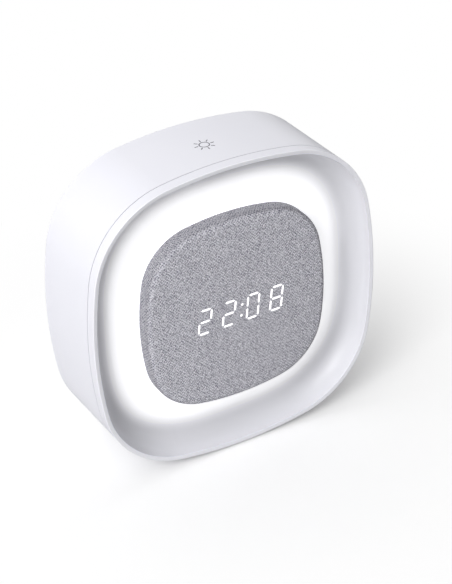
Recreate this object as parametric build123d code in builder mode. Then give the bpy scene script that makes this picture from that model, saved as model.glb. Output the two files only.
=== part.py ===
from build123d import *
from collections import namedtuple
from math import atan2, degrees, hypot, radians, sqrt, tan
import os

# Night light alarm clock, in millimetres. X runs to the right seen from the front, Y from
# the front to the back and Z up, with the origin under the middle of the clock on the
# surface that it stands on. Depths are measured back from the front rim, and places on a
# depth are (x, height) from the centre of the case.

# Case: eight tangent arcs round the outline, four bowed sides and four corners
case_width = 150.0
case_height = 150.0
case_depth = 50.0
corner_radius = 46.7
side_radius = 205.0
wall = 2.0
rim_round = 0.2
rim_slope_width = 1.5
rim_slope_drop = 0.3
rear_round = 1.0
seam_depth = 5.8
seam_gap = 0.4
skirt_fit = 0.15

# Light bowl inside the rim
bowl_depth = 13.0
bowl_lip = 1.0

# Fabric panel that floats in the bowl
panel_width = 95.8
panel_height = 95.8
panel_corner_radius = 29.5
panel_side_radius = 123.0
panel_setback = 0.2
panel_thickness = 9.0
panel_round = 2.7
panel_back_round = 1.5
fabric_thickness = 0.8
fabric_turn = 6.0
glue_gap = 0.05
carrier_plate = 2.0
carrier_rim = 3.0
panel_boss_diameter = 7.0
panel_boss_spread = 42.0

# Halo lamp in the back of the panel, which shines on the floor of the bowl
halo_inset = 7.0
halo_wall = 1.5
halo_diffuser_thickness = 1.5
halo_board_fit = 0.3
halo_board_width = 8.0
halo_board_thickness = 1.2
halo_led_length = 3.5
halo_led_width = 2.8
halo_led_height = 0.8
halo_led_pitch = 15.0
halo_leds_per_side = 4
halo_led_shift = 0.4

# Time display
digit_height = 13.2
digit_width = 7.0
digit_pitch = 12.8
digit_slant = 7.0
digit_count = 4
bar_width = 0.95
bar_gap = 0.45
colon_spread = 5.8
colon_dot = 1.2
display_shift = 1.2
display_drop = 0.9
lens_fit = 0.05
lens_length = 3.6
mask_margin = 1.5
mask_fit = 0.1
mask_flange = 1.5
mask_flange_thickness = 1.2
mask_depth = 3.0
display_led_size = 0.8
display_led_height = 0.6
display_board_thickness = 1.2
display_board_margin = 3.0
display_boss_diameter = 5.0
display_boss_gap = 0.4

# Rear cover
cover_recess = 1.5
cover_thickness = 2.0
cover_fit = 0.25
ledge_width = 2.0
ledge_length = 2.5
post_diameter = 7.0
post_margin = 1.0

# Screws
screw_diameter = 2.6
screw_fit = 0.05
screw_clearance = 0.3
screw_head = 5.0
screw_head_height = 1.3
screw_tip_room = 1.0
cross_length = 2.8
cross_width = 0.7
cross_depth = 0.7
rear_screw_length = 12.0
panel_screw_length = 8.0
board_screw_length = 6.0
display_screw_length = 3.8

# Feet
foot_diameter = 9.0
foot_proud = 0.8
foot_spread = 60.0
foot_span = 24.0
foot_round = 0.3

# Main board
board_width = 96.0
board_height = 44.0
board_thickness = 1.6
board_rise = 27.0
board_standoff = 8.4
board_hole_inset = 4.0
board_boss_diameter = 6.0
chip_size = 9.0
chip_thickness = 1.2
chip_place = (24.0, 31.0)
crystal_length = 10.0
crystal_width = 4.0
crystal_thickness = 3.4
crystal_place = (24.0, 19.0)
capacitor_diameter = 6.3
capacitor_height = 7.0
capacitor_places = ((-36.0, 31.0), (-27.0, 31.0))

# Push buttons and the switches under them
button_names = ("set", "up", "down", "alarm")
button_diameter = 9.0
button_pitch = 18.0
button_rise = 37.0
button_proud = 1.0
button_travel = 0.5
button_clearance = 0.2
button_round = 0.4
flange_width = 1.2
flange_thickness = 1.2
plunger_diameter = 4.0
mark_radius = 2.2
mark_line = 0.7
mark_depth = 0.3
bell_dome = 1.3
bell_flare = 70.0
switch_size = 6.0
switch_height = 3.5
switch_floor = 1.0
stem_diameter = 3.4
stem_clearance = 0.2
stem_proud = 1.4

# Alarm on and off slider
slider_travel = 3.0
slider_rise = 17.0
knob_length = 6.0
knob_width = 4.0
knob_proud = 1.0
knob_ridge = 0.5
slider_clearance = 0.25
slider_plate = 1.0
slider_overlap = 1.5
lever_size = 2.0
lever_engagement = 1.5
slide_switch_wall = 1.2
slide_switch_height = 4.0

# Power inlet
usb_width = 8.94
usb_height = 3.26
usb_shell = 0.3
usb_clearance = 0.25
usb_setback = 0.4
usb_base = 2.0
usb_tongue_width = 6.6
usb_tongue_thickness = 0.7
usb_tongue_setback = 1.0
usb_place = (-34.0, 17.0)

# Buzzer behind its sound holes
buzzer_diameter = 12.0
buzzer_height = 7.5
buzzer_hole = 2.0
buzzer_hole_depth = 1.5
buzzer_place = (34.0, 17.0)
sound_hole = 1.6
sound_ring = 3.4
sound_holes = 6

# Battery bay in the rear cover, its door and three cells
cell_diameter = 10.3
cell_length = 44.2
cell_nub_diameter = 3.8
cell_nub_length = 1.0
cell_gap = 0.5
cell_count = 3
contact_room = 3.8
contact_width = 7.0
contact_thickness = 0.35
contact_bend = 0.6
contact_hold = 0.1
bay_wall = 2.0
bay_drop = 25.0
door_thickness = 1.8
door_gap = 0.3
door_ledge = 1.5
door_grip_ridges = 4
door_grip_pitch = 1.6
door_grip_width = 14.0
door_grip_height = 0.6
door_grip_inset = 5.0
tab_width = 8.0
tab_length = 2.5
tab_thickness = 1.5
tab_root = 2.5
tab_spread = 30.0
tab_clearance = 0.1
tab_side_room = 0.4
tab_swing_room = 2.0
finger_notch_radius = 7.0
finger_notch_depth = 1.0

# Touch key under the top wall
touch_depth = 24.5
electrode_diameter = 16.0
electrode_thickness = 0.4

# Leads
ribbon_thickness = 0.3
ribbon_bend = 2.0
ribbon_foot = 9.0
display_ribbon_width = 12.0
display_ribbon_height = 4.0
narrow_ribbon_width = 5.0
halo_lead_x = -14.0
halo_lead_room = 5.0
slot_room = 1.0
battery_lead_diameter = 1.2
battery_lead_fit = 0.3
battery_lead_reach = 5.0
battery_lead_bend = 2.0
battery_lead_overlap = 4.0

# Depths and heights that follow
Rounded = namedtuple("Rounded", "width height corner side")
case = Rounded(case_width, case_height, corner_radius, side_radius)
panel = Rounded(panel_width, panel_height, panel_corner_radius, panel_side_radius)
front_y = -case_depth / 2
case_center = foot_proud + case_height / 2
bowl_round = bowl_depth - bowl_lip
bowl_back = bowl_depth + wall
sleeve_front = seam_depth + seam_gap
cover_back = case_depth - cover_recess
cover_front = cover_back - cover_thickness
panel_back = panel_setback + panel_thickness
carrier_inset = fabric_thickness + glue_gap
carrier_front = panel_setback + carrier_inset
carrier_back = panel_back - carrier_inset
plate_back = carrier_front + carrier_plate
mask_back = plate_back + mask_depth
display_board_back = mask_back + display_board_thickness
halo_board_inset = halo_inset + halo_wall + halo_board_fit
halo_inner_rib = halo_board_inset + halo_board_width + halo_board_fit
halo_inner_inset = halo_inner_rib + halo_wall
halo_board_back = plate_back + halo_board_thickness
diffuser_front = panel_back - halo_diffuser_thickness
board_back = cover_front - board_standoff
board_front = board_back - board_thickness
board_low = board_rise - board_height / 2
switch_top = board_back + switch_height
stem_top = switch_top + stem_proud
pilot_radius = screw_diameter / 2 + screw_fit
clear_radius = screw_diameter / 2 + screw_clearance


def corner_arc(shape):
    """Centre of the upper right corner arc, and the angles at which it starts and ends."""
    across = shape.width / 2 - shape.side
    up = shape.height / 2 - shape.side
    span = hypot(across, up)
    rise = sqrt((shape.side - shape.corner) ** 2 - span**2 / 4)
    x = across / 2 - up * rise / span
    z = up / 2 - across * rise / span
    return x, z, degrees(atan2(z, x - across)), degrees(atan2(z - up, x))


def outline(shape, inset=0.0):
    """Face of eight tangent arcs, parallel to the shape's edge at an inset."""
    x, z, low, high = corner_arc(shape)
    across = shape.width / 2 - shape.side
    up = shape.height / 2 - shape.side
    side = shape.side - inset
    corner = shape.corner - inset
    turn = high - low
    with BuildSketch() as face:
        with BuildLine():
            CenterArc((across, 0), side, -low, 2 * low)
            CenterArc((x, z), corner, low, turn)
            CenterArc((0, up), side, high, 180 - 2 * high)
            CenterArc((-x, z), corner, 180 - high, turn)
            CenterArc((-across, 0), side, 180 - low, 2 * low)
            CenterArc((-x, -z), corner, 180 + low, turn)
            CenterArc((0, -up), side, 180 + high, 180 - 2 * high)
            CenterArc((x, -z), corner, 360 - high, turn)
        make_face()
    return face.sketch


def at_depth(depth):
    """Plane that looks to the front from a depth behind the rim, centred on the case."""
    return Plane(origin=(0, front_y + depth, case_center), x_dir=(1, 0, 0), z_dir=(0, -1, 0))


def side_on(x):
    """Plane seen from the right at x, with depth to its right and height upwards."""
    return Plane(origin=(x, front_y, case_center), x_dir=(0, 1, 0), z_dir=(1, 0, 0))


def slab(shape, front, back, inset=0.0, mode=Mode.ADD):
    """Solid of one outline between two depths."""
    with BuildSketch(at_depth(back)) as face:
        add(outline(shape, inset))
    extrude(face.sketch, amount=back - front, mode=mode)


def ring(shape, front, back, outer, inner, mode=Mode.ADD):
    """Ring between two insets of one outline and between two depths."""
    with BuildSketch(at_depth(back)) as face:
        add(outline(shape, outer))
        add(outline(shape, inner), mode=Mode.SUBTRACT)
    extrude(face.sketch, amount=back - front, mode=mode)


def discs(places, radius, front, back, mode=Mode.ADD):
    """Round pegs or holes at places, between two depths."""
    with BuildSketch(at_depth(back)) as face:
        with Locations(*places):
            Circle(radius)
    extrude(face.sketch, amount=back - front, mode=mode)


def blocks(places, width, height, front, back, mode=Mode.ADD):
    """Square-cornered blocks or cuts at places, between two depths."""
    with BuildSketch(at_depth(back)) as face:
        with Locations(*places):
            Rectangle(width, height)
    extrude(face.sketch, amount=back - front, mode=mode)


def slots(place, width, height, front, back, mode=Mode.ADD):
    """Round-ended block or cut at a place, between two depths."""
    with BuildSketch(at_depth(back)) as face:
        with Locations(place):
            SlotOverall(width, height)
    extrude(face.sketch, amount=back - front, mode=mode)


def screws(places, seat, length, driven=1):
    """Cross-head screws on a seat, with shanks towards the front, or the back at driven -1."""
    end = seat - driven * length
    top = seat + driven * screw_head_height
    recess = top - driven * cross_depth
    discs(places, screw_diameter / 2, min(seat, end), max(seat, end))
    discs(places, screw_head / 2, min(seat, top), max(seat, top))
    near, far = min(recess, top), max(recess, top)
    blocks(places, cross_length, cross_width, near, far, Mode.SUBTRACT)
    blocks(places, cross_width, cross_length, near, far, Mode.SUBTRACT)


def pillow(piece, inset):
    """Panel body with rounded edges, at an inset from the panel's surface on every side."""
    slab(panel, panel_setback + inset, panel_back - inset, inset)
    fillet(piece.faces().sort_by(Axis.Y)[0].edges(), panel_round - inset)
    fillet(piece.faces().sort_by(Axis.Y)[-1].edges(), panel_back_round - inset)


def ribbon(points, x, width):
    """Flat lead along (depth, height) points, bent in the plane at x."""
    with BuildSketch(side_on(x)) as strip:
        with BuildLine():
            FilletPolyline(*points, radius=ribbon_bend)
        trace(line_width=ribbon_thickness)
    extrude(strip.sketch, amount=width / 2, both=True)


def spread(pitch, count):
    """Evenly pitched places about zero."""
    return [pitch * (i - (count - 1) / 2) for i in range(count)]


def slanted(x, z):
    """Point of the display leaned by the slant of the digits."""
    return (x + z * tan(radians(digit_slant)), z)


def bar(x, z, length, upright):
    """One bar of a digit, pointed at both ends, as the slanted corners of a polygon."""
    half = length / 2
    edge = bar_width / 2
    along = [(-half, 0), (edge - half, edge), (half - edge, edge)]
    along += [(half, 0), (half - edge, -edge), (edge - half, -edge)]
    if upright:
        along = [(-b, a) for a, b in along]
    return [slanted(x + a, z + b) for a, b in along]


def display_bars():
    """Seven bars of each digit and the two dots of the colon, as one sketch."""
    rise = (digit_height - bar_width) / 2
    reach = (digit_width - bar_width) / 2
    across = 2 * reach - bar_gap
    tall = rise - bar_gap
    with BuildSketch() as face:
        for center in spread(digit_pitch, digit_count):
            for z in (-rise, 0, rise):
                Polygon(*bar(center, z, across, False), align=None)
            for x in (-reach, reach):
                for z in (-rise / 2, rise / 2):
                    Polygon(*bar(center + x, z, tall, True), align=None)
        with Locations(*[slanted(0, z) for z in (-colon_spread / 2, colon_spread / 2)]):
            Circle(colon_dot / 2)
    return face.sketch


def bar_places():
    """Middle of each bar and dot of the display, from the centre of the case."""
    return [(f.center().X + display_shift, f.center().Y - display_drop) for f in display_bars().faces()]


def finish(piece, name):
    """Name a finished piece and write it."""
    piece.part.label = name
    export_step(piece.part, f"parts/{name}.step")


os.makedirs("parts", exist_ok=True)

# Places shared by pieces that meet
corner_x, corner_z, _, _ = corner_arc(case)
post_reach = corner_radius - wall - ledge_width - post_margin - post_diameter / 2
post_x = corner_x + post_reach / sqrt(2)
post_z = corner_z + post_reach / sqrt(2)
post_places = [(x, z) for x in (-post_x, post_x) for z in (-post_z, post_z)]
panel_boss_at = panel_boss_spread / 2
panel_boss_places = [(x, z) for x in (-panel_boss_at, panel_boss_at) for z in (-panel_boss_at, panel_boss_at)]
board_hole_x = board_width / 2 - board_hole_inset
board_hole_z = board_height / 2 - board_hole_inset
board_hole_places = [
    (x, board_rise + z) for x in (-board_hole_x, board_hole_x) for z in (-board_hole_z, board_hole_z)
]
button_places = [(x, button_rise) for x in spread(button_pitch, len(button_names))]
digit_lean = digit_height * tan(radians(digit_slant))
mask_width = (digit_count - 1) * digit_pitch + digit_width + digit_lean + 2 * mask_margin
mask_height = digit_height + 2 * mask_margin
display_place = (display_shift, -display_drop)
display_boss_z = mask_height / 2 + mask_flange + display_boss_gap + display_boss_diameter / 2
display_boss_places = [(display_shift, z - display_drop) for z in (-display_boss_z, display_boss_z)]
display_board_width = mask_width + 2 * mask_flange
display_board_height = 2 * (display_boss_z + display_board_margin)
bay_length = cell_length + 2 * contact_room
bay_height = cell_count * (cell_diameter + cell_gap) + cell_gap
bay_place = (0, -bay_drop)
opening_length = bay_length + 2 * door_ledge
opening_height = bay_height + 2 * door_ledge
cell_depth = cover_back - door_thickness - cell_gap - cell_diameter / 2
bay_floor = cell_depth - cell_diameter / 2 - cell_gap
bay_front = bay_floor - bay_wall
cell_heights = [z - bay_drop for z in spread(cell_diameter + cell_gap, cell_count)]
halo_board_middle = panel_height / 2 - halo_board_inset - halo_board_width / 2
display_slot = (display_shift, display_ribbon_height)
halo_lead_height = panel_height / 2 - halo_inner_inset - halo_lead_room
halo_slot = (halo_lead_x, halo_lead_height)
battery_lead_depth = board_back + battery_lead_diameter / 2
battery_lead_height = cell_heights[-1]

# Hollow of the light bowl: a straight lip inside the rim, then a quarter round to the floor
with BuildPart() as bowl_hollow:
    slab(case, 0, bowl_depth, wall)
    fillet(bowl_hollow.faces().sort_by(Axis.Y)[-1].edges(), bowl_round)

# Front shell: rim, light bowl, skirt that enters the sleeve, and the posts for the rear screws
with BuildPart() as front_shell:
    slab(case, 0, bowl_back)
    fillet(front_shell.faces().sort_by(Axis.Y)[-1].edges(), bowl_round + wall)
    ring(case, seam_depth, bowl_back, 0, wall + skirt_fit, Mode.SUBTRACT)
    slab(case, 0, seam_depth)
    discs(post_places, post_diameter / 2, seam_depth, cover_front)
    add(bowl_hollow.part, mode=Mode.SUBTRACT)
    pilot_front = cover_back - rear_screw_length - screw_tip_room
    discs(post_places, pilot_radius, pilot_front, cover_front, Mode.SUBTRACT)
    discs(panel_boss_places, clear_radius, bowl_depth, bowl_back, Mode.SUBTRACT)
    display_slot_width = display_ribbon_width + 2 * slot_room
    display_slot_height = ribbon_thickness + 2 * slot_room
    blocks([display_slot], display_slot_width, display_slot_height, bowl_depth, bowl_back, Mode.SUBTRACT)
    halo_slot_width = narrow_ribbon_width + 2 * slot_room
    halo_slot_height = ribbon_thickness + 2 * slot_room
    blocks([halo_slot], halo_slot_width, halo_slot_height, bowl_depth, bowl_back, Mode.SUBTRACT)
    rim = front_shell.faces().sort_by(Axis.Y)[0]
    chamfer(rim.inner_wires()[0].edges(), rim_slope_width, rim_slope_drop, reference=rim)
    fillet(front_shell.faces().sort_by(Axis.Y)[0].outer_wire().edges(), rim_round)
finish(front_shell, "front_shell")

# Main housing: sleeve behind the seam, with the ledge that the rear cover seats on
with BuildPart() as main_housing:
    ring(case, sleeve_front, case_depth, 0, wall)
    ring(case, cover_front - ledge_length, cover_front, wall / 2, wall + ledge_width)
    fillet(main_housing.faces().sort_by(Axis.Y)[-1].outer_wire().edges(), rear_round)
finish(main_housing, "main_housing")

# Rubber feet, glued to the bowed underside
with BuildPart() as rubber_feet:
    with BuildSketch():
        with GridLocations(foot_spread, foot_span, 2, 2):
            Circle(foot_diameter / 2)
    extrude(amount=case_center)
    slab(case, 0, case_depth, mode=Mode.SUBTRACT)
    fillet(rubber_feet.edges().group_by(Axis.Z)[0], foot_round)
finish(rubber_feet, "rubber_feet")

# Space inside the cloth, where the carrier sits
with BuildPart() as cloth_inside:
    pillow(cloth_inside, fabric_thickness)

# Fabric cover: cloth stretched over the panel and turned in behind its edge
with BuildPart() as fabric_cover:
    pillow(fabric_cover, 0)
    add(cloth_inside.part, mode=Mode.SUBTRACT)
    slab(panel, carrier_back, panel_back, fabric_turn, Mode.SUBTRACT)
finish(fabric_cover, "fabric_cover")

# Panel carrier: plate with a window for the display, a rim, the two ribs of the halo lamp's
# trough, and bosses for the panel and display screws
with BuildPart() as panel_carrier:
    pillow(panel_carrier, carrier_inset)
    slab(panel, plate_back, carrier_back, carrier_inset + carrier_rim, Mode.SUBTRACT)
    ring(panel, plate_back, diffuser_front, halo_inset, halo_inset + halo_wall)
    ring(panel, plate_back, diffuser_front, halo_inner_rib, halo_inner_inset)
    lead_notch = (halo_lead_x, panel_height / 2 - halo_inner_inset)
    lead_notch_height = 4 * halo_wall
    blocks([lead_notch], halo_slot_width, lead_notch_height, halo_board_back, diffuser_front, Mode.SUBTRACT)
    discs(panel_boss_places, panel_boss_diameter / 2, plate_back, bowl_depth)
    discs(display_boss_places, display_boss_diameter / 2, plate_back, mask_back)
    window_width = mask_width + 2 * mask_fit
    window_height = mask_height + 2 * mask_fit
    blocks([display_place], window_width, window_height, carrier_front, plate_back, Mode.SUBTRACT)
    panel_pilot_front = bowl_back - panel_screw_length - screw_tip_room
    discs(panel_boss_places, pilot_radius, panel_pilot_front, bowl_depth, Mode.SUBTRACT)
    discs(display_boss_places, pilot_radius, plate_back, mask_back, Mode.SUBTRACT)
finish(panel_carrier, "panel_carrier")

# Screws that hold the panel to the floor of the bowl
with BuildPart() as panel_screws:
    screws(panel_boss_places, bowl_back, panel_screw_length)
finish(panel_screws, "panel_screws")

# Digit mask: light shield with a well for each bar of the display
with BuildPart() as digit_mask:
    blocks([display_place], mask_width, mask_height, carrier_front, mask_back)
    flange_back = plate_back + mask_flange_thickness
    flange_length = mask_width + 2 * mask_flange
    flange_height = mask_height + 2 * mask_flange
    blocks([display_place], flange_length, flange_height, plate_back, flange_back)
    with BuildSketch(at_depth(mask_back)):
        with Locations(display_place):
            add(display_bars())
        offset(amount=lens_fit, kind=Kind.INTERSECTION)
    extrude(amount=mask_back - carrier_front, mode=Mode.SUBTRACT)
finish(digit_mask, "digit_mask")

# Lenses that carry the light of each bar up to the cloth
with BuildPart() as segment_lenses:
    with BuildSketch(at_depth(carrier_front + lens_length)):
        with Locations(display_place):
            add(display_bars())
    extrude(amount=lens_length)
finish(segment_lenses, "segment_lenses")

# Display board and its lamps, one at the bottom of each well
with BuildPart() as display_board:
    blocks([display_place], display_board_width, display_board_height, mask_back, display_board_back)
    discs(display_boss_places, clear_radius, mask_back, display_board_back, Mode.SUBTRACT)
finish(display_board, "display_board")

with BuildPart() as display_leds:
    lamp_front = mask_back - display_led_height
    blocks(bar_places(), display_led_size, display_led_size, lamp_front, mask_back)
finish(display_leds, "display_leds")

with BuildPart() as display_screws:
    screws(display_boss_places, display_board_back, display_screw_length)
finish(display_screws, "display_screws")

# Halo lamp: board and lamps in the carrier's trough, closed by a frosted ring
with BuildPart() as halo_diffuser:
    ring(panel, diffuser_front, panel_back, halo_inset, halo_inner_inset)
finish(halo_diffuser, "halo_diffuser")

with BuildPart() as halo_board:
    board_inner = halo_board_inset + halo_board_width
    ring(panel, plate_back, halo_board_back, halo_board_inset, board_inner)
finish(halo_board, "halo_board")

with BuildPart() as halo_leds:
    lamp_back = halo_board_back + halo_led_height
    lamp_row = spread(halo_led_pitch, halo_leds_per_side)
    lamp_z = halo_board_middle - halo_led_shift
    lamp_x = panel_width / 2 - halo_board_inset - halo_board_width / 2 - halo_led_shift
    level = [(x, z) for x in lamp_row for z in (-lamp_z, lamp_z)]
    upright = [(x, z) for x in (-lamp_x, lamp_x) for z in lamp_row]
    blocks(level, halo_led_length, halo_led_width, halo_board_back, lamp_back)
    blocks(upright, halo_led_width, halo_led_length, halo_board_back, lamp_back)
finish(halo_leds, "halo_leds")

# Rear cover: plate inside the sleeve, battery bay, board bosses and the openings
with BuildPart() as rear_cover:
    slab(case, cover_front, cover_back, wall + cover_fit)
    blocks([bay_place], bay_length + 2 * bay_wall, bay_height + 2 * bay_wall, bay_front, cover_front)
    discs(board_hole_places, board_boss_diameter / 2, board_back, cover_front)
    blocks([bay_place], bay_length, bay_height, bay_floor, cover_back, Mode.SUBTRACT)
    blocks([bay_place], opening_length, opening_height, cover_front, cover_back, Mode.SUBTRACT)
    tab_notch_height = 2 * bay_wall
    tab_notch_z = -bay_drop - bay_height / 2 - tab_notch_height / 2
    tab_notches = [(x, tab_notch_z) for x in (-tab_spread / 2, tab_spread / 2)]
    tab_notch_width = tab_width + 2 * tab_side_room
    tab_notch_front = cover_front - tab_clearance - tab_thickness - tab_swing_room
    blocks(tab_notches, tab_notch_width, tab_notch_height, tab_notch_front, cover_front, Mode.SUBTRACT)
    finger_notch = (0, opening_height / 2 - bay_drop)
    discs([finger_notch], finger_notch_radius, cover_back - finger_notch_depth, cover_back, Mode.SUBTRACT)
    discs(post_places, clear_radius, cover_front, cover_back, Mode.SUBTRACT)
    button_hole = button_diameter / 2 + button_clearance
    discs(button_places, button_hole, cover_front, cover_back, Mode.SUBTRACT)
    knob_slot_length = knob_length + slider_travel + 2 * slider_clearance
    knob_slot_width = knob_width + 2 * slider_clearance
    blocks([(0, slider_rise)], knob_slot_length, knob_slot_width, cover_front, cover_back, Mode.SUBTRACT)
    usb_slot_width = usb_width + 2 * usb_clearance
    usb_slot_height = usb_height + 2 * usb_clearance
    slots(usb_place, usb_slot_width, usb_slot_height, cover_front, cover_back, Mode.SUBTRACT)
    with BuildSketch(at_depth(cover_back)):
        with Locations(buzzer_place):
            Circle(sound_hole / 2)
            with PolarLocations(sound_ring, sound_holes):
                Circle(sound_hole / 2)
    extrude(amount=cover_thickness, mode=Mode.SUBTRACT)
    board_pilot_back = board_front + board_screw_length + screw_tip_room
    discs(board_hole_places, pilot_radius, board_back, board_pilot_back, Mode.SUBTRACT)
    lead_hole_length = bay_length + 4 * bay_wall
    with BuildSketch(Plane.YZ.offset(-lead_hole_length / 2)):
        with Locations((front_y + battery_lead_depth, case_center + battery_lead_height)):
            Circle(battery_lead_diameter / 2 + battery_lead_fit)
    extrude(amount=lead_hole_length, mode=Mode.SUBTRACT)
finish(rear_cover, "rear_cover")

with BuildPart() as rear_screws:
    screws(post_places, cover_back, rear_screw_length)
finish(rear_screws, "rear_screws")

# Battery door: plate flush with the cover, with two tabs behind its lower edge
with BuildPart() as battery_door:
    door_length = opening_length - 2 * door_gap
    door_height = opening_height - 2 * door_gap
    door_inside = cover_back - door_thickness
    blocks([bay_place], door_length, door_height, door_inside, cover_back)
    door_bottom = -bay_drop - door_height / 2
    tab_back = cover_front - tab_clearance
    tab_front = tab_back - tab_thickness
    tab_x = (-tab_spread / 2, tab_spread / 2)
    tab_z = door_bottom + (tab_root - tab_length) / 2
    blocks([(x, tab_z) for x in tab_x], tab_width, tab_root + tab_length, tab_front, tab_back)
    root_z = door_bottom + tab_root / 2
    blocks([(x, root_z) for x in tab_x], tab_width, tab_root, tab_front, door_inside)
    grip_top = door_height / 2 - bay_drop - door_grip_inset
    grip_z = [grip_top - i * door_grip_pitch for i in range(door_grip_ridges)]
    grip_thickness = door_grip_pitch / 2
    grip_back = cover_back + door_grip_height
    blocks([(0, z) for z in grip_z], door_grip_width, grip_thickness, cover_back, grip_back)
finish(battery_door, "battery_door")

# Three cells, turned about end for end
with BuildPart() as battery_cells:
    nub_end = cell_length / 2
    for i, z in enumerate(cell_heights):
        facing = 1 if i % 2 == 0 else -1
        start = Plane(
            origin=(-facing * nub_end, front_y + cell_depth, case_center + z),
            x_dir=(0, 1, 0),
            z_dir=(facing, 0, 0),
        )
        with BuildSketch(start):
            Circle(cell_diameter / 2)
        extrude(amount=cell_length - cell_nub_length)
        with BuildSketch(start.offset(cell_length - cell_nub_length)):
            Circle(cell_nub_diameter / 2)
        extrude(amount=cell_nub_length)
finish(battery_cells, "battery_cells")


def leaf_contacts(side):
    """Folded leaves between one end wall of the bay and the three cells."""
    wall_x = side * (bay_length / 2 - contact_thickness / 2)
    tip_x = side * (cell_length / 2 + contact_thickness / 2 + contact_hold)
    low = front_y + bay_floor + contact_thickness
    high = front_y + cell_depth + cell_diameter / 2
    middle = front_y + cell_depth
    back_x = (wall_x + tip_x) / 2
    for z in cell_heights:
        with BuildSketch(Plane.XY.offset(case_center + z)) as leaf:
            with BuildLine():
                fold = [(wall_x, low), (wall_x, high), (tip_x, middle), (back_x, low)]
                FilletPolyline(*fold, radius=contact_bend)
            trace(line_width=contact_thickness)
        extrude(leaf.sketch, amount=contact_width / 2, both=True)


with BuildPart() as left_contacts:
    leaf_contacts(-1)
finish(left_contacts, "left_contacts")

with BuildPart() as right_contacts:
    leaf_contacts(1)
finish(right_contacts, "right_contacts")

# Two leads from the upper contacts, through the end walls of the bay and up to the main board
with BuildPart() as battery_leads:
    lead_end = board_low + battery_lead_overlap
    for side in (-1, 1):
        start_x = side * bay_length / 2
        turn_x = start_x + side * (bay_wall + battery_lead_reach)
        with BuildLine(at_depth(battery_lead_depth)) as route:
            FilletPolyline(
                (start_x, battery_lead_height),
                (turn_x, battery_lead_height),
                (turn_x, lead_end),
                radius=battery_lead_bend,
            )
        with BuildSketch(Plane(origin=route.line @ 0, z_dir=route.line % 0)):
            Circle(battery_lead_diameter / 2)
        sweep(path=route.line)
finish(battery_leads, "battery_leads")

# Main board and what is soldered to it
with BuildPart() as main_board:
    blocks([(0, board_rise)], board_width, board_height, board_front, board_back)
    discs(board_hole_places, clear_radius, board_front, board_back, Mode.SUBTRACT)
finish(main_board, "main_board")

with BuildPart() as board_screws:
    screws(board_hole_places, board_front, board_screw_length, driven=-1)
finish(board_screws, "board_screws")

with BuildPart() as control_chip:
    blocks([chip_place], chip_size, chip_size, board_front - chip_thickness, board_front)
finish(control_chip, "control_chip")

with BuildPart() as clock_crystal:
    slots(crystal_place, crystal_length, crystal_width, board_front - crystal_thickness, board_front)
finish(clock_crystal, "clock_crystal")

with BuildPart() as capacitors:
    discs(capacitor_places, capacitor_diameter / 2, board_front - capacitor_height, board_front)
finish(capacitors, "capacitors")

with BuildPart() as buzzer:
    buzzer_top = board_back + buzzer_height
    discs([buzzer_place], buzzer_diameter / 2, board_back, buzzer_top)
    discs([buzzer_place], buzzer_hole / 2, buzzer_top - buzzer_hole_depth, buzzer_top, Mode.SUBTRACT)
finish(buzzer, "buzzer")

# Power inlet: metal shell open to the rear, and the tongue on its base
with BuildPart() as usb_socket:
    usb_mouth = cover_back - usb_setback
    slots(usb_place, usb_width, usb_height, board_back, usb_mouth)
    usb_inner_width = usb_width - 2 * usb_shell
    usb_inner_height = usb_height - 2 * usb_shell
    slots(usb_place, usb_inner_width, usb_inner_height, board_back, usb_mouth, Mode.SUBTRACT)
finish(usb_socket, "usb_socket")

with BuildPart() as usb_tongue:
    slots(usb_place, usb_inner_width, usb_inner_height, board_back, board_back + usb_base)
    tongue_end = usb_mouth - usb_tongue_setback
    blocks([usb_place], usb_tongue_width, usb_tongue_thickness, board_back + usb_base, tongue_end)
finish(usb_tongue, "usb_tongue")

# Bodies of the four tact switches, each with a well for its stem
with BuildPart() as tact_switches:
    blocks(button_places, switch_size, switch_size, board_back, switch_top)
    well_radius = stem_diameter / 2 + stem_clearance
    discs(button_places, well_radius, board_back + switch_floor, switch_top, Mode.SUBTRACT)
finish(tact_switches, "tact_switches")


def set_mark():
    """Ring."""
    Circle(mark_radius)
    Circle(mark_radius - mark_line, mode=Mode.SUBTRACT)


def up_mark():
    """Triangle that points up."""
    RegularPolygon(mark_radius, 3, rotation=90)


def down_mark():
    """Triangle that points down."""
    RegularPolygon(mark_radius, 3, rotation=-90)


def alarm_mark():
    """Bell: a dome over a flared skirt."""
    Circle(bell_dome)
    Trapezoid(2 * mark_radius, mark_radius, bell_flare, align=(Align.CENTER, Align.MAX))


# Each button with the stem of the switch under it, which it pushes towards the front
button_marks = (set_mark, up_mark, down_mark, alarm_mark)
for name, place, mark in zip(button_names, button_places, button_marks):
    with BuildPart() as button:
        cap_back = cover_back + button_proud
        flange_front = cover_front - flange_thickness
        discs([place], button_diameter / 2, cover_front, cap_back)
        fillet(button.edges().group_by(Axis.Y)[-1], button_round)
        discs([place], button_diameter / 2 + flange_width, flange_front, cover_front)
        discs([place], plunger_diameter / 2, stem_top, flange_front)
        with BuildSketch(at_depth(cap_back)):
            with Locations(place):
                mark()
        extrude(amount=mark_depth, mode=Mode.SUBTRACT)
    finish(button, f"{name}_button")
    with BuildPart() as stem:
        stem_foot = board_back + switch_floor + button_travel + stem_clearance
        discs([place], stem_diameter / 2, stem_foot, stem_top)
    finish(stem, f"{name}_stem")

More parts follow.
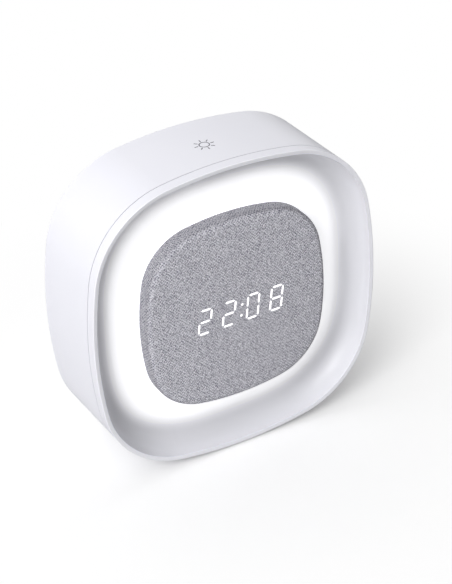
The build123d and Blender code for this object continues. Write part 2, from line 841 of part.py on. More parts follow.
# Alarm slider, shown at the off end of its slot, with the switch that it works
off_place = (-slider_travel / 2, slider_rise)
with BuildPart() as alarm_slider:
    knob_back = cover_back + knob_proud
    plate_rear = cover_front - slider_clearance
    plate_front = plate_rear - slider_plate
    blocks([off_place], knob_length, knob_width, plate_rear, knob_back)
    plate_length = knob_slot_length + slider_travel + 2 * slider_overlap
    plate_width = knob_slot_width + 2 * slider_overlap
    blocks([off_place], plate_length, plate_width, plate_front, plate_rear)
    ridges = [(off_place[0] + x, slider_rise) for x in spread(knob_length / 3, 3)]
    blocks(ridges, knob_ridge, knob_width, knob_back - knob_ridge, knob_back, Mode.SUBTRACT)
finish(alarm_slider, "alarm_slider")

with BuildPart() as slide_switch:
    groove_length = lever_size + slider_travel + 2 * slider_clearance
    groove_width = lever_size + 2 * slider_clearance
    body_length = groove_length + 2 * slide_switch_wall
    body_width = groove_width + 2 * slide_switch_wall
    body_back = board_back + slide_switch_height
    blocks([(0, slider_rise)], body_length, body_width, board_back, body_back)
    groove_front = body_back - lever_engagement - slider_clearance
    blocks([(0, slider_rise)], groove_length, groove_width, groove_front, body_back, Mode.SUBTRACT)
finish(slide_switch, "slide_switch")

with BuildPart() as slide_lever:
    blocks([off_place], lever_size, lever_size, body_back - lever_engagement, plate_front)
finish(slide_lever, "slide_lever")

# Touch electrode on the underside of the top wall
with BuildPart() as touch_electrode:
    electrode_inset = wall + glue_gap
    electrode_front = touch_depth - electrode_diameter
    electrode_back = touch_depth + electrode_diameter
    ring(case, electrode_front, electrode_back, electrode_inset, electrode_inset + electrode_thickness)
    with BuildSketch(Plane.XY.offset(case_center)):
        with Locations((0, front_y + touch_depth)):
            Circle(electrode_diameter / 2)
    extrude(amount=case_height, mode=Mode.INTERSECT)
finish(touch_electrode, "touch_electrode")

# Flat leads: each lies on the two boards, or pads, that it joins
half_ribbon = ribbon_thickness / 2
main_face = board_front - half_ribbon
with BuildPart() as touch_lead:
    under_pad = case_height / 2 - electrode_inset - electrode_thickness - glue_gap - half_ribbon
    pad_front = touch_depth - electrode_diameter / 4
    lead_low = board_rise + board_height / 2 - ribbon_foot
    ribbon([(pad_front, under_pad), (main_face, under_pad), (main_face, lead_low)], 0, narrow_ribbon_width)
finish(touch_lead, "touch_lead")

with BuildPart() as display_ribbon:
    board_face = display_board_back + half_ribbon
    foot_low = display_ribbon_height - ribbon_foot
    foot_high = board_low + ribbon_foot
    route = [(board_face, foot_low), (board_face, display_ribbon_height)]
    route += [(main_face, display_ribbon_height), (main_face, foot_high)]
    ribbon(route, display_shift, display_ribbon_width)
finish(display_ribbon, "display_ribbon")

with BuildPart() as halo_lead:
    board_face = halo_board_back + half_ribbon
    foot_high = halo_lead_height + ribbon_foot
    route = [(board_face, halo_board_middle), (board_face, halo_lead_height)]
    route += [(main_face, halo_lead_height), (main_face, foot_high)]
    ribbon(route, halo_lead_x, narrow_ribbon_width)
finish(halo_lead, "halo_lead")
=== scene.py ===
from math import acos, atan2, hypot, pi, radians, sqrt, tan

import bmesh
import bpy
from mathutils import Matrix, Vector


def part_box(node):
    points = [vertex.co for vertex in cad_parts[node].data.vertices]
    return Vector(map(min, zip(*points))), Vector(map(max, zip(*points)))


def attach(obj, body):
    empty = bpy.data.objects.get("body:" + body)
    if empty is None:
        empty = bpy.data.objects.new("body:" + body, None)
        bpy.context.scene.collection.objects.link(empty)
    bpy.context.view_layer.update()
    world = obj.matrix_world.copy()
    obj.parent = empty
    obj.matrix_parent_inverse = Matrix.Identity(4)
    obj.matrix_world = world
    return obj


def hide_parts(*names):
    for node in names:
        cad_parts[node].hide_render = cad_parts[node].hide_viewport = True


# Night light alarm clock: finishes, stretched cloth, lit digits and the printed touch mark.
# Metres, in the frame of the solids: X to the right, Y to the back, Z up.
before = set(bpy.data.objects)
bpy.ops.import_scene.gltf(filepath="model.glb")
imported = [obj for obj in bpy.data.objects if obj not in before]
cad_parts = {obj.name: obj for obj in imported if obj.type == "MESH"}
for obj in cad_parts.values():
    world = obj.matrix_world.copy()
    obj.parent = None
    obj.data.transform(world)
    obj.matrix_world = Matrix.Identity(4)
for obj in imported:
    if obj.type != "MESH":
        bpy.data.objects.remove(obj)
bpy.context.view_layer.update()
MM = 0.001
WHITE = "#FFFFFF"
BLACK = "#000000"
# Sockets of a Mix node that mixes colours
MIX_FIRST = 6
MIX_SECOND = 7
MIX_RESULT = 2

# Places that follow from the frame
shell_low, shell_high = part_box("front_shell")
cloth_low, cloth_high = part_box("fabric_cover")
case_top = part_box("main_housing")[1].z
front_y = shell_low.y
center_z = (shell_low.z + shell_high.z) / 2
panel_half = (cloth_high.x - cloth_low.x) / 2
panel_thickness = cloth_high.y - cloth_low.y

# Case: bow of its sides, joint line between front shell and housing with painted shade in its gap,
# and its whites
case_side_radius = 205.0 * MM
seam_depth = 5.8 * MM
seam_gap = 0.4 * MM
seam_edge = 0.02 * MM
case_pale = "#F2F2F9"
case_deep = "#EFEFF7"
seam_painted_shade = "#DCDCE4"

# Bowl, its painted shade behind the rim, and the painted light of the halo lamp that the bowl and
# the rim emit themselves, measured out from the panel's edge. Panel and case have nearly the same
# squarish outline, so one power serves for both.
bowl_depth = 13.0 * MM
bowl_margin = 0.5 * MM
bowl_inset = 1.1 * MM
bowl_painted_shade = "#E1E1E6"
bowl_shade_start = 0.3 * MM
bowl_shade_full = 1.0 * MM
squareness = 2.9
halo_white = 9.0 * MM
halo_end = 19.5 * MM
painted_halo_strength = 0.62
rim_depth = 0.35 * MM
painted_rim_glow = 0.11

# Cloth over the panel
panel_corner_radius = 29.5 * MM
panel_side_radius = 123.0 * MM
panel_round = 2.7 * MM
panel_back_round = 1.5 * MM
cloth_thickness = 0.8 * MM
cloth_turn = 6.0 * MM
face_margin = 0.5 * MM
side_steps = 20
corner_steps = 20
round_steps = 8
merge_gap = 0.01 * MM
level_gap = 0.1 * MM
least_slope = 0.001

# Look of the cloth: yarn and flecks as coarse as they show, and painted shade on its edge and sides
fleck_size = 0.32 * MM
yarn_width = 0.8 * MM
weave_share = 0.25
weave_depth = 0.1 * MM
weave_bump = 0.3
dark_fibre = "#53526A"
dark_fibre_at = 0.06
pale_fibre = "#F9F8FF"
pale_fibre_at = 0.76
side_shade_black = "#1C1C1E"
side_shade_depth = 1.3 * MM
side_shade_share = 0.42

# Time display: gaps and the colon's place follow what shows through the cloth
digit_height = 13.2 * MM
digit_width = 7.0 * MM
digit_pitch = 12.8 * MM
digit_slant = radians(7.0)
bar_width = 0.95 * MM
bar_gap = 1.1 * MM
colon_spread = 5.8 * MM
colon_dot = 1.2 * MM
colon_shift = 0.4 * MM
colon_drop = 0.3 * MM
dot_segments = 20
display_shift = 1.2 * MM
display_drop = 0.9 * MM
bar_proud = 0.04 * MM
shown_time = "2208"
# Bars that each shown figure lights: level ones by height, upright ones by side and height
level_bars = {"2": (-1, 0, 1), "0": (-1, 1), "8": (-1, 0, 1)}
upright_bars = {
    "2": ((-1, -1), (1, 1)),
    "0": ((-1, -1), (-1, 1), (1, -1), (1, 1)),
    "8": ((-1, -1), (-1, 1), (1, -1), (1, 1)),
}

# Touch mark on the top
mark_depth = 24.5 * MM
mark_shift = -0.8 * MM
sun_ring = 2.4 * MM
ring_steps = 48
ray_start = 3.2 * MM
ray_end = 5.0 * MM
ray_count = 8
ray_steps = 4
ink_line = 0.45 * MM
ink_proud = 0.03 * MM

# Moulded plastic and rubber. The grain is coarser than a real mould's, so that it shows.
plastic_ior = 1.54
cloud_size = 30 * MM
cloud_detail = 2.0
grain_detail = 3.0
grain_depth = 0.02 * MM
# Pale tone, deep tone, roughness, size of the grain and how far it stands out
moulded_looks = {
    # satin pale grey keys
    "grey_abs": ("#C4C4CC", "#BCBCC4", 0.45, 0.5 * MM, 0.15),
    # matt black that takes up stray light
    "black_abs": ("#1C1C1E", "#161618", 0.5, 0.5 * MM, 0.2),
    # dull, dry grey
    "foot_rubber": ("#8E8E94", "#84848A", 0.8, 0.4 * MM, 0.3),
    # dull black packages
    "black_epoxy": ("#232325", "#1B1B1D", 0.55, 0.3 * MM, 0.2),
    # off-white film, half matt
    "flat_lead": ("#E8E8E6", "#DEDEDC", 0.5, 0.6 * MM, 0.1),
    # smooth red insulation
    "red_lead": ("#B3262A", "#A32024", 0.45, 0.5 * MM, 0.1),
    # smooth grey-blue shrink film
    "cell_sleeve": ("#56768F", "#4E6C84", 0.35, 0.8 * MM, 0.05),
    # pad-printed ink: thin, matt and slightly uneven
    "grey_ink": ("#5E5E68", "#505059", 0.6, 0.3 * MM, 0.05),
}

# Milky plastic lit from behind: strength of the light and roughness
acrylic_ior = 1.49
frost_size = 0.6 * MM
frost_tone = "#F0F0F4"
glowing_looks = {
    # even white bars
    "lit_segments": (1.0, 0.4),
    # soft white ring
    "frosted_acrylic": (1.5, 0.5),
    # bright white points
    "led_chip": (2.0, 0.3),
}

# Metals: tone and roughness, with streaks along the way the tool went
streak_length = 2 * MM
streak_width = 0.15 * MM
streak_detail = 2.0
streak_gloss = 0.08
metal_looks = {
    # zinc plating, a greyish shine
    "screw_steel": ("#A9A9AD", 0.32),
    # brighter and faintly warm
    "nickel": ("#C8C6C0", 0.28),
    # rosy foil
    "copper": ("#C98A5E", 0.35),
    # drawn aluminium, pale and cool
    "capacitor_can": ("#B8B8BC", 0.3),
}

# Circuit boards: pale and deep tone of the glass cloth's mesh
lacquer_ior = 1.5
lacquer_roughness = 0.35
mesh_size = 0.8 * MM
board_looks = {
    # green lacquer
    "circuit_board": ("#1F5B36", "#1B5230"),
    # white lacquer that throws the lamps' light forwards
    "white_board": ("#ECECE6", "#E4E4DE"),
}

# Floor: its light near the clock, where it goes over into white, and the grey card at the right
floor_radius = 4.0
floor_segments = 64
floor_tone = "#F4F4F4"
floor_lift = 0.17
floor_near = 0.05
floor_far = 0.24
floor_left = "#D6D6D6"
floor_right = "#989898"
card_edge = 0.08

# Soft fill of the room: the side where it is dim, both strengths, and the cosines between which
# it goes from one to the other
dim_side = (0.35, -0.9, -0.2)
fill_bright = 0.59
fill_dim = 0.08
fill_turn_start = -0.3
fill_turn_end = 0.7

# Softboxes: the way to each from the middle of the clock, and its power in watts
lamp_distance = 3.0
lamp_size = 1.4
lamps = {
    "key_softbox": ((-0.66, -0.50, 0.56), 55.0),
    "high_softbox": ((-0.45, -0.20, 0.90), 11.0),
    "side_softbox": ((0.80, 0.55, 0.12), 5.5),
    "back_softbox": ((0.10, 1.00, 0.05), 9.0),
}

# Camera of the photograph: where it stands, and how it is turned
camera_turn = radians(-29.11)
camera_rise = radians(31.21)
camera_roll = radians(-2.51)
camera_distance = 0.87558
camera_aim = Vector((-6.54 * MM, front_y, center_z + 11.37 * MM))
image_height = 584
focal_pixels = 1910.6
sensor_width = 36.0


def linear(colour):
    """Linear RGBA of an sRGB hex colour."""
    channels = [int(colour[i:i + 2], 16) / 255 for i in (1, 3, 5)]
    return (*[c / 12.92 if c <= 0.04045 else ((c + 0.055) / 1.055) ** 2.4 for c in channels], 1.0)


def add_node(tree, kind, inputs=(), **settings):
    """Add a node with its settings, and feed its inputs from values or other nodes' outputs."""
    made = tree.nodes.new("ShaderNode" + kind)
    for name, value in settings.items():
        setattr(made, name, value)
    for socket, source in dict(inputs).items():
        if isinstance(source, bpy.types.NodeSocket):
            tree.links.new(source, made.inputs[socket])
        else:
            made.inputs[socket].default_value = source
    return made


def new_material(name, sockets):
    """Material with one Principled shader, whose plain values are set on its own sockets."""
    made = bpy.data.materials.new(name)
    made.use_nodes = True
    shader = made.node_tree.nodes["Principled BSDF"]
    for socket, value in sockets.items():
        shader.inputs[socket].default_value = value
    return made, made.node_tree, shader


def moulded(name, pale, deep, roughness, grain, bump):
    """Moulded plastic or rubber: a faint cloudy tone and the even grain of a spark-eroded mould."""
    made, tree, shader = new_material(name, {"Roughness": roughness, "IOR": plastic_ior})
    place = add_node(tree, "TexCoord").outputs["Object"]
    cloud = add_node(tree, "TexNoise", {
        "Vector": place,
        "Scale": 1 / cloud_size,
        "Detail": cloud_detail,
    })
    tone = add_node(tree, "ValToRGB", {"Fac": cloud.outputs["Fac"]})
    tone.color_ramp.elements[0].color = linear(deep)
    tone.color_ramp.elements[1].color = linear(pale)
    tree.links.new(tone.outputs["Color"], shader.inputs["Base Color"])
    grit = add_node(tree, "TexNoise", {
        "Vector": place,
        "Scale": 1 / grain,
        "Detail": grain_detail,
    })
    relief = add_node(tree, "Bump", {
        "Height": grit.outputs["Fac"],
        "Strength": bump,
        "Distance": grain_depth,
    })
    tree.links.new(relief.outputs["Normal"], shader.inputs["Normal"])
    return made


def case_abs(name):
    """ABS from a fine matt mould: white with a cool, faintly violet cast and a soft sheen. The
    joint line round the case is toned greyer, as painted shade in its narrow gap."""
    made = moulded(name, case_pale, case_deep, roughness=0.42, grain=0.5 * MM, bump=0.12)
    tree = made.node_tree
    shader = tree.nodes["Principled BSDF"]
    place = add_node(tree, "TexCoord").outputs["Object"]
    depth = add_node(tree, "SeparateXYZ", {"Vector": place}).outputs["Y"]
    # Painted shade: the joint's narrow gap is toned greyer
    joint = add_node(tree, "Math", {
        0: depth,
        1: front_y + seam_depth + seam_gap / 2,
        2: seam_gap / 2 + seam_edge,
    }, operation="COMPARE").outputs[0]
    tone = add_node(tree, "Mix", {
        MIX_FIRST: shader.inputs["Base Color"].links[0].from_socket,
        MIX_SECOND: linear(seam_painted_shade),
        "Factor": joint,
    }, data_type="RGBA")
    tree.links.new(tone.outputs[MIX_RESULT], shader.inputs["Base Color"])
    return made


def bowl_abs_painted_light():
    """The case's ABS, with painted shade in the bowl, toned greyer behind the rim, and painted
    light
    of the halo lamp: the bowl emits light that fades away from the panel's edge, and the rim emits
    a little painted glow."""
    made = case_abs("bowl_abs_painted_light")
    tree = made.node_tree
    shader = tree.nodes["Principled BSDF"]
    place = add_node(tree, "TexCoord").outputs["Object"]
    split = add_node(tree, "SeparateXYZ", {"Vector": place}).outputs

    # Squarish distance from the middle
    rise = add_node(tree, "Math", {0: split["Z"], 1: center_z}, operation="SUBTRACT").outputs[0]
    powers = []
    for side in (split["X"], rise):
        size = add_node(tree, "Math", {0: side}, operation="ABSOLUTE").outputs[0]
        power = add_node(tree, "Math", {0: size, 1: squareness}, operation="POWER")
        powers.append(power.outputs[0])
    both = add_node(tree, "Math", {0: powers[0], 1: powers[1]}, operation="ADD").outputs[0]
    reach = add_node(tree, "Math", {0: both, 1: 1 / squareness}, operation="POWER").outputs[0]

    # Painted light: the bowl and the rim emit light themselves, for the halo lamp's light on them
    fade = add_node(tree, "MapRange", {
        "Value": reach,
        "From Min": panel_half + halo_white,
        "From Max": panel_half + halo_end,
        "To Min": painted_halo_strength,
        "To Max": 0.0,
    }, interpolation_type="SMOOTHSTEP").outputs["Result"]
    inside = add_node(tree, "Math", {
        0: split["Y"],
        1: front_y + bowl_depth + bowl_margin,
    }, operation="LESS_THAN").outputs[0]
    lit = add_node(tree, "Math", {0: fade, 1: inside}, operation="MULTIPLY").outputs[0]
    rim = add_node(tree, "Math", {
        0: split["Y"],
        1: front_y + rim_depth,
    }, operation="LESS_THAN").outputs[0]
    glow = add_node(tree, "Math", {0: rim, 1: painted_rim_glow, 2: lit}, operation="MULTIPLY_ADD")
    tree.links.new(glow.outputs[0], shader.inputs["Emission Strength"])
    shader.inputs["Emission Color"].default_value = linear(WHITE)

    # Painted shade: the bowl behind the rim is toned greyer
    within = add_node(tree, "Math", {
        0: reach,
        1: shell_high.x - bowl_inset,
    }, operation="LESS_THAN").outputs[0]
    deep = add_node(tree, "MapRange", {
        "Value": split["Y"],
        "From Min": front_y + bowl_shade_start,
        "From Max": front_y + bowl_shade_full,
    }).outputs["Result"]
    bowl = add_node(tree, "Math", {0: within, 1: deep}, operation="MULTIPLY").outputs[0]
    tone = add_node(tree, "Mix", {
        MIX_FIRST: shader.inputs["Base Color"].links[0].from_socket,
        MIX_SECOND: linear(bowl_painted_shade),
        "Factor": bowl,
    }, data_type="RGBA")
    tree.links.new(tone.outputs[MIX_RESULT], shader.inputs["Base Color"])
    return made


def melange_cloth():
    """Plain-woven polyester yarn of mixed light and dark fibre: a fine grey speckle on an even
    weave, dry and matt. From its rounded front edge back over its sides, the cloth is mixed towards
    black as painted shade."""
    made, tree, shader = new_material("melange_cloth", {
        "Roughness": 0.92,
        "Specular IOR Level": 0.2,
        "Sheen Weight": 0.15,
        "Sheen Roughness": 0.5,
    })
    flat = add_node(tree, "UVMap", uv_map="cloth").outputs["UV"]
    crossing = add_node(tree, "Mapping", {
        "Vector": flat,
        "Scale": (1 / yarn_width, 1 / yarn_width, 1.0),
    }).outputs[0]
    over = add_node(tree, "TexChecker", {
        "Vector": crossing,
        "Scale": 1.0,
        "Color1": linear(WHITE),
        "Color2": linear(BLACK),
    }).outputs["Fac"]
    speckle = add_node(tree, "Mapping", {
        "Vector": flat,
        "Scale": (1 / fleck_size, 1 / fleck_size, 1.0),
    }).outputs[0]
    spot = add_node(tree, "VectorMath", {0: speckle}, operation="FLOOR").outputs[0]
    fleck = add_node(tree, "TexWhiteNoise", {"Vector": spot}, noise_dimensions="2D")
    woven = add_node(tree, "Mix", {
        "Factor": weave_share,
        "A": fleck.outputs["Value"],
        "B": over,
    }).outputs["Result"]
    colour = add_node(tree, "ValToRGB", {"Fac": woven})
    dark, pale = colour.color_ramp.elements
    dark.position = dark_fibre_at
    dark.color = linear(dark_fibre)
    pale.position = pale_fibre_at
    pale.color = linear(pale_fibre)
    place = add_node(tree, "TexCoord").outputs["Object"]
    # Painted shade: behind the front face the cloth is mixed towards black
    side_shade = add_node(tree, "MapRange", {
        "Value": add_node(tree, "SeparateXYZ", {"Vector": place}).outputs["Y"],
        "From Min": cloth_low.y,
        "From Max": cloth_low.y + side_shade_depth,
        "To Max": side_shade_share,
    }).outputs["Result"]
    tone = add_node(tree, "Mix", {
        MIX_FIRST: colour.outputs["Color"],
        MIX_SECOND: linear(side_shade_black),
        "Factor": side_shade,
    }, data_type="RGBA")
    tree.links.new(tone.outputs[MIX_RESULT], shader.inputs["Base Color"])
    relief = add_node(tree, "Bump", {
        "Height": woven,
        "Strength": weave_bump,
        "Distance": weave_depth,
    })
    tree.links.new(relief.outputs["Normal"], shader.inputs["Normal"])
    return made


def glowing(name, strength, roughness):
    """Milky plastic lit from behind: an even white light."""
    made, tree, shader = new_material(name, {
        "Roughness": roughness,
        "Emission Color": linear(WHITE),
        "Emission Strength": strength,
        "IOR": acrylic_ior,
    })
    place = add_node(tree, "TexCoord").outputs["Object"]
    frost = add_node(tree, "TexNoise", {"Vector": place, "Scale": 1 / frost_size})
    tone = add_node(tree, "ValToRGB", {"Fac": frost.outputs["Fac"]})
    tone.color_ramp.elements[0].color = linear(frost_tone)
    tone.color_ramp.elements[1].color = linear(WHITE)
    tree.links.new(tone.outputs["Color"], shader.inputs["Base Color"])
    return made


def metal(name, colour, roughness):
    """Plated or drawn metal: bright, with fine streaks left by the tool."""
    made, tree, shader = new_material(name, {"Metallic": 1.0, "Base Color": linear(colour)})
    place = add_node(tree, "TexCoord").outputs["Object"]
    drawn = add_node(tree, "Mapping", {
        "Vector": place,
        "Scale": (1 / streak_length, 1 / streak_length, 1 / streak_width),
    })
    streak = add_node(tree, "TexNoise", {
        "Vector": drawn.outputs[0],
        "Scale": 1.0,
        "Detail": streak_detail,
    })
    gloss = add_node(tree, "MapRange", {
        "Value": streak.outputs["Fac"],
        "To Min": roughness - streak_gloss,
        "To Max": roughness + streak_gloss,
    })
    tree.links.new(gloss.outputs["Result"], shader.inputs["Roughness"])
    return made


def board_laminate(name, pale, deep):
    """Glass-cloth laminate under solder lacquer: a fine even mesh, half glossy."""
    made, tree, shader = new_material(name, {"Roughness": lacquer_roughness, "IOR": lacquer_ior})
    place = add_node(tree, "TexCoord").outputs["Object"]
    weave = add_node(tree, "TexChecker", {
        "Vector": place,
        "Scale": 1 / mesh_size,
        "Color1": linear(pale),
        "Color2": linear(deep),
    })
    tree.links.new(weave.outputs["Color"], shader.inputs["Base Color"])
    return made


def new_object(name, data):
    """Object that holds the data, in the scene."""
    made = bpy.data.objects.new(name, data)
    bpy.context.scene.collection.objects.link(made)
    return made


def new_mesh(name, shape, material):
    """Mesh of a finished bmesh, in one material."""
    mesh = bpy.data.meshes.new(name)
    shape.to_mesh(mesh)
    shape.free()
    mesh.materials.append(material)
    return mesh


def new_piece(name, shape, finish):
    """Object of a finished bmesh that moves with the case."""
    piece = new_object(name, new_mesh(name, shape, finishes[finish]))
    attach(piece, "case")
    return piece


def thicken(shape, faces, offset):
    """Pull a copy of the faces away by the offset, with walls between the two."""
    made = bmesh.ops.extrude_face_region(shape, geom=faces, use_keep_orig=True)
    moved = [part for part in made["geom"] if isinstance(part, bmesh.types.BMVert)]
    bmesh.ops.translate(shape, verts=moved, vec=offset)
    bmesh.ops.recalc_face_normals(shape, faces=shape.faces[:])


def corner_center():
    """Distance of the panel's corner arcs from its middle, on both axes."""
    across = panel_half - panel_side_radius
    span = hypot(across, across)
    rise = sqrt((panel_side_radius - panel_corner_radius) ** 2 - span**2 / 4)
    return across / 2 - across * rise / span


def panel_outline(shape):
    """Outline of the panel's front: four bowed sides, each followed by the arc of a corner."""
    across = panel_half - panel_side_radius
    corner = corner_center()
    low = atan2(corner, corner - across)
    axis = Vector((0, -1, 0))
    middle = Vector((0, cloth_low.y, center_z))
    start = Vector((across + panel_side_radius, cloth_low.y, center_z))
    pivot = Vector((across, cloth_low.y, center_z))
    swing = Matrix.Rotation(-low, 4, axis)
    turned = Matrix.Translation(pivot) @ swing @ Matrix.Translation(-pivot)
    last = shape.verts.new(turned @ start)
    for quarter in range(4):
        spun = Matrix.Rotation(quarter * pi / 2, 3, axis)
        for at, angle, steps in (
            (Vector((across, 0, 0)), 2 * low, side_steps),
            (Vector((corner, 0, corner)), pi / 2 - 2 * low, corner_steps),
        ):
            made = bmesh.ops.spin(
                shape, geom=[last], cent=middle + spun @ at, axis=axis, angle=angle, steps=steps
            )
            ends = [part for part in made["geom_last"] if isinstance(part, bmesh.types.BMVert)]
            last = ends[0]
    bmesh.ops.remove_doubles(shape, verts=shape.verts[:], dist=merge_gap)


def unwrap_cloth(shape):
    """Lay the cloth flat: its own map, in metres, runs straight on over the rounded edge."""
    layer = shape.loops.layers.uv.new("cloth")
    shape.normal_update()
    straight = panel_thickness - panel_round
    for face in shape.faces:
        for loop in face.loops:
            spot = loop.vert
            flat = Vector((spot.co.x, spot.co.z - center_z))
            out = Vector((spot.normal.x, spot.normal.z))
            depth = spot.co.y - cloth_low.y
            if depth < panel_round:
                share = depth / panel_round
                turn = acos(max(-1.0, min(1.0, 1 - share)))
                extra = panel_round * (turn - (2 * share - share**2) ** 0.5)
            else:
                extra = panel_round * (pi / 2 - 1) + min(depth - panel_round, straight)
            if out.length > least_slope:
                flat += out.normalized() * extra
            loop[layer].uv = flat


def fabric_panel():
    """Cloth stretched over the panel: one sheet over the face, round the edge and turned in
    behind."""
    shape = bmesh.new()
    panel_outline(shape)
    face = bmesh.ops.contextual_create(shape, geom=shape.edges[:])["faces"]
    thicken(shape, face, (0, panel_thickness, 0))
    for depth, radius in ((cloth_low.y, panel_round), (cloth_high.y, panel_back_round)):
        level = [
            edge
            for edge in shape.edges
            if all(abs(spot.co.y - depth) < level_gap for spot in edge.verts)
        ]
        bmesh.ops.bevel(
            shape,
            geom=level,
            offset=radius,
            segments=round_steps,
            profile=0.5,
            affect="EDGES",
            material=-1,
        )
    flats = sorted(shape.faces, key=lambda part: part.calc_area())[-2:]
    front, back = sorted(flats, key=lambda part: part.calc_center_median().y)
    bmesh.ops.inset_region(shape, faces=[back], thickness=cloth_turn - panel_back_round)
    bmesh.ops.delete(shape, geom=[back], context="FACES")
    bmesh.ops.inset_region(shape, faces=[front], thickness=face_margin)
    unwrap_cloth(shape)
    for part in shape.faces:
        part.smooth = True
    piece = new_piece("fabric_panel", shape, "melange_fabric")
    wall = piece.modifiers.new("cloth thickness", "SOLIDIFY")
    wall.thickness = cloth_thickness
    wall.offset = -1.0
    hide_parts("fabric_cover")


def lit_bar(shape, x, z, length, upright):
    """One bar of a digit, pointed at both ends."""
    half = length / 2
    edge = bar_width / 2
    along = [(-half, 0), (edge - half, edge), (half - edge, edge)]
    along += [(half, 0), (half - edge, -edge), (edge - half, -edge)]
    if upright:
        along = [(-b, a) for a, b in along]
    corners = [shape.verts.new((x + a, 0, z + b)) for a, b in along]
    shape.faces.new(corners)


def lit_digits():
    """Bars of light that show through the cloth, for the shown time."""
    shape = bmesh.new()
    rise = (digit_height - bar_width) / 2
    reach = (digit_width - bar_width) / 2
    for place, figure in enumerate(shown_time):
        x = digit_pitch * (place - (len(shown_time) - 1) / 2)
        for level in level_bars[figure]:
            lit_bar(shape, x, level * rise, 2 * reach - bar_gap, upright=False)
        for side, level in upright_bars[figure]:
            lit_bar(shape, x + side * reach, level * rise / 2, rise - bar_gap, upright=True)
    for level in (-1, 1):
        place = Matrix.Translation((colon_shift, 0, level * colon_spread / 2 - colon_drop))
        bmesh.ops.create_circle(
            shape,
            cap_ends=True,
            radius=colon_dot / 2,
            segments=dot_segments,
            matrix=place @ Matrix.Rotation(pi / 2, 4, "X"),
        )
    for spot in shape.verts:
        spot.co.x += spot.co.z * tan(digit_slant)
    thicken(shape, shape.faces[:], (0, 2 * bar_proud, 0))
    middle = (display_shift, cloth_low.y - bar_proud, center_z - display_drop)
    bmesh.ops.translate(shape, verts=shape.verts[:], vec=middle)
    new_piece("lit_digits", shape, "lit_segments")


def touch_mark():
    """Sun printed on the top over the touch key: a ring and its rays, on the bowed surface."""
    shape = bmesh.new()
    ends = [shape.verts.new((sun_ring + side * ink_line / 2, 0, 0)) for side in (-1, 1)]
    edge = shape.edges.new(ends)
    bmesh.ops.spin(
        shape,
        geom=[edge, *ends],
        cent=(0, 0, 0),
        axis=(0, 0, 1),
        angle=2 * pi,
        steps=ring_steps,
        use_merge=True,
    )
    place = Matrix.Translation(((ray_start + ray_end) / 2, 0, 0))
    stretch = Matrix.Diagonal((ray_end - ray_start, ink_line, 1, 1))
    for ray in range(ray_count):
        turn = Matrix.Rotation(2 * pi * ray / ray_count, 4, "Z")
        bmesh.ops.create_grid(
            shape, x_segments=ray_steps, y_segments=1, size=0.5, matrix=turn @ place @ stretch
        )
    thicken(shape, shape.faces[:], (0, 0, -2 * ink_proud))
    for spot in shape.verts:
        spot.co.x += mark_shift
        bow = case_side_radius - sqrt(case_side_radius**2 - spot.co.x**2)
        spot.co.z += case_top + ink_proud - bow
        spot.co.y += front_y + mark_depth
    new_piece("touch_mark", shape, "grey_ink")


def white_paper():
    """Pale matt paper that keeps the shadow near the clock and goes over into the white backdrop
    further out. The light that it throws back is weaker on the right, as if a grey card lay
    there."""
    made = bpy.data.materials.new("white_paper")
    made.use_nodes = True
    tree = made.node_tree
    tree.nodes.clear()
    place = add_node(tree, "TexCoord").outputs["Object"]

    # What the camera sees
    matt = add_node(tree, "BsdfDiffuse", {"Color": linear(floor_tone)})
    lift = add_node(tree, "Emission", {"Color": linear(WHITE), "Strength": floor_lift})
    near = add_node(tree, "AddShader", {0: matt.outputs[0], 1: lift.outputs[0]})
    white = add_node(tree, "Emission", {"Color": linear(WHITE), "Strength": 1.0})
    distance = add_node(tree, "VectorMath", {0: place}, operation="LENGTH").outputs["Value"]
    out = add_node(tree, "MapRange", {
        "Value": distance,
        "From Min": floor_near,
        "From Max": floor_far,
    }, interpolation_type="SMOOTHSTEP").outputs["Result"]
    seen = add_node(tree, "MixShader", {0: out, 1: near.outputs[0], 2: white.outputs[0]})

    # What lights the clock from below
    card = add_node(tree, "MapRange", {
        "Value": add_node(tree, "SeparateXYZ", {"Vector": place}).outputs["X"],
        "From Min": -card_edge,
        "From Max": card_edge,
    }, interpolation_type="SMOOTHSTEP").outputs["Result"]
    tone = add_node(tree, "Mix", {
        MIX_FIRST: linear(floor_left),
        MIX_SECOND: linear(floor_right),
        "Factor": card,
    }, data_type="RGBA").outputs[MIX_RESULT]
    dull = add_node(tree, "BsdfDiffuse", {"Color": tone})
    shown = add_node(tree, "MixShader", {
        0: add_node(tree, "LightPath").outputs["Is Camera Ray"],
        1: dull.outputs[0],
        2: seen.outputs[0],
    })
    add_node(tree, "OutputMaterial", {"Surface": shown.outputs[0]})
    return made


def studio_floor():
    """Round floor that the clock stands on."""
    shape = bmesh.new()
    bmesh.ops.create_circle(shape, cap_ends=True, radius=floor_radius, segments=floor_segments)
    floor = new_object("floor", new_mesh("floor", shape, white_paper()))


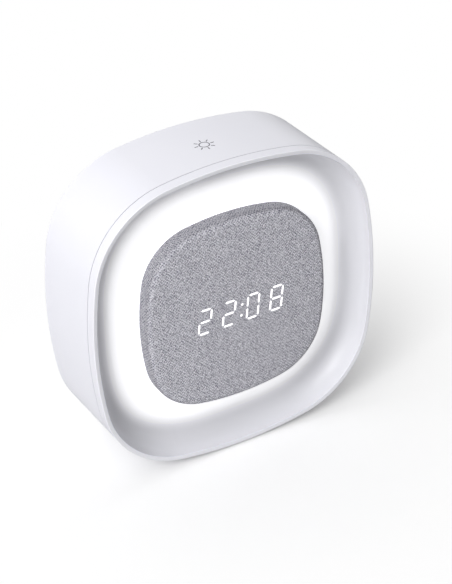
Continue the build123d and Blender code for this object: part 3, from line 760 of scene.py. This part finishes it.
def studio_world():
    """Plain white to the camera and in reflections. Its soft fill is bright to the left, above and
    behind, and dim in front, where the camera stands."""
    world = bpy.data.worlds.new("studio")
    bpy.context.scene.world = world
    world.use_nodes = True
    tree = world.node_tree
    tree.nodes.clear()
    path = add_node(tree, "LightPath")
    mirror = add_node(tree, "Math", {
        0: path.outputs["Is Camera Ray"],
        1: path.outputs["Is Glossy Ray"],
    }, operation="MAXIMUM")
    shown = add_node(tree, "Math", {
        0: mirror.outputs[0],
        1: path.outputs["Is Transmission Ray"],
    }, operation="MAXIMUM")
    ahead = add_node(tree, "VectorMath", {
        0: add_node(tree, "TexCoord").outputs["Generated"],
        1: Vector(dim_side).normalized(),
    }, operation="DOT_PRODUCT")
    level = add_node(tree, "MapRange", {
        "Value": ahead.outputs["Value"],
        "From Min": fill_turn_start,
        "From Max": fill_turn_end,
        "To Min": fill_bright,
        "To Max": fill_dim,
    }, interpolation_type="SMOOTHSTEP")
    fill = add_node(tree, "Background", {
        "Color": linear(WHITE),
        "Strength": level.outputs["Result"],
    })
    white = add_node(tree, "Background", {"Color": linear(WHITE), "Strength": 1.0})
    both = add_node(tree, "MixShader", {
        0: shown.outputs[0],
        1: fill.outputs[0],
        2: white.outputs[0],
    })
    add_node(tree, "OutputWorld", {"Surface": both.outputs[0]})


def soft_lamp(name, direction, power):
    """Square softbox that looks at the middle of the clock."""
    data = bpy.data.lights.new(name, "AREA")
    data.shape = "SQUARE"
    data.size = lamp_size
    data.energy = power
    lamp = new_object(name, data)
    away = Vector(direction).normalized()
    lamp.location = Vector((0, 0, center_z)) + away * lamp_distance
    lamp.rotation_euler = away.to_track_quat("Z", "Y").to_euler()


def photo_camera():
    """Camera at the viewing angle of the photograph."""
    data = bpy.data.cameras.new("photo_camera")
    data.sensor_width = sensor_width
    data.lens = sensor_width * focal_pixels / image_height
    camera = new_object("photo_camera", data)
    turned = Matrix.Rotation(camera_turn, 4, "Z") @ Matrix.Rotation(pi / 2 - camera_rise, 4, "X")
    turned = turned @ Matrix.Rotation(camera_roll, 4, "Z")
    back = turned.to_3x3() @ Vector((0, 0, 1))
    camera.matrix_world = Matrix.Translation(camera_aim + back * camera_distance) @ turned
    bpy.context.scene.camera = camera


# Finishes by the record's slots, and the ink
finishes = {"white_abs": case_abs("white_abs"), "melange_fabric": melange_cloth()}
for maker, looks in (
    (moulded, moulded_looks),
    (glowing, glowing_looks),
    (metal, metal_looks),
    (board_laminate, board_looks),
):
    finishes.update({name: maker(name, *look) for name, look in looks.items()})
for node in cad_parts.values():
    for held in node.material_slots:
        held.material = finishes[held.material.name.split(".")[0]]
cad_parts["front_shell"].material_slots[0].material = bowl_abs_painted_light()

fabric_panel()
lit_digits()
touch_mark()

studio_floor()
studio_world()
for name, (direction, power) in lamps.items():
    soft_lamp(name, direction, power)
photo_camera()
bpy.context.scene.view_settings.view_transform = "Standard"
